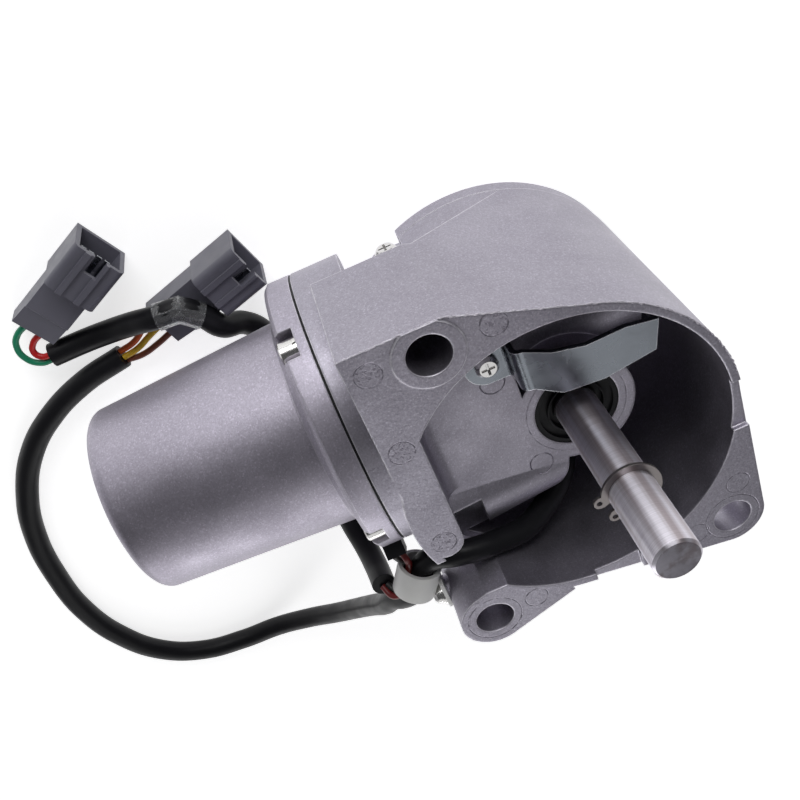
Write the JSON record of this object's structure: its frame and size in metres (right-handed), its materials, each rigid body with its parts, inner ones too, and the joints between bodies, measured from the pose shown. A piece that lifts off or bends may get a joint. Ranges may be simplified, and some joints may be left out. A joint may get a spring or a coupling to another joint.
{
  "type": "stepper motor",
  "caption": "Electric stepper motor with a right angle worm drive, an output shaft in a round cast shroud with mounting bosses, and two plug leads.",
  "frame": {"origin": "output shaft axis on the mounting face of the three bosses", "axes": "+Z out of the mounting face along the output shaft, +X along the motor axis to the can's closed end, +Y to the two lower bosses"},
  "size_m": [0.2762, 0.2201, 0.1547],
  "materials": {
    "cast_alloy": "bead blasted, satin",
    "steel": "bright plated",
    "shaft_steel": "ground, dark",
    "zinc_plate": "zinc plated, satin",
    "seal_rubber": "matte",
    "sleeve_black": "satin",
    "wire_sheath": "satin",
    "plug_grey": "fine moulded grain",
    "sensor_plastic": "moulded",
    "nylon_white": "satin",
    "clear_tape": "clear film",
    "bronze": "machined",
    "copper": "enamelled wire",
    "magnet": "sintered"
  },
  "bodies": {
    "housing": {"gear_housing": "cast_alloy", "back_cover": "cast_alloy", "cover_gasket": "seal_rubber", "cover_screws": "steel", "motor_can": "cast_alloy", "flange_gasket": "seal_rubber", "motor_screws": "steel", "motor_washers": "steel", "stator_core": "steel", "stator_coils": "copper", "rotor_front_bearing": "steel", "rotor_rear_bearing": "steel", "worm_end_bearing": "steel", "output_front_bearing": "steel", "output_rear_bearing": "steel", "oil_seal": "seal_rubber", "guard_strap": "zinc_plate", "strap_screw": "steel", "position_sensor": "sensor_plastic", "sensor_screws": "steel", "plug_screw": "steel", "lead_grommet": "seal_rubber", "lead_clamp": "nylon_white", "clamp_screw": "steel", "motor_wires": "wire_sheath", "lead_a": "sleeve_black", "lead_b": "sleeve_black", "wires_a": "wire_sheath", "wires_b": "wire_sheath", "lead_tape": "clear_tape", "plug_a": "plug_grey", "plug_b": "plug_grey", "pins_a": "zinc_plate", "pins_b": "zinc_plate"},
    "rotor": {"rotor": "steel", "rotor_magnet": "magnet", "worm_shaft": "steel"},
    "output": {"output_shaft": "shaft_steel", "worm_wheel": "bronze", "wheel_key": "steel", "shaft_circlip": "steel", "rear_circlip": "steel"}
  },
  "joints": [
    {"name": "rotor_spin", "type": "hinge", "parent": "housing", "child": "rotor", "pos_m": [0, -0.019, -0.05], "axis": [1, 0, 0], "range_deg": [-1168, 1168]},
    {"name": "output_spin", "type": "hinge", "parent": "housing", "child": "output", "pos_m": [0, 0, 0], "axis": [0, 0, 1], "range_deg": [-45, 45]}
  ],
  "couplings": [
    {"joint": "output_spin", "follows": "rotor_spin", "ratio": -0.038462}
  ]
}
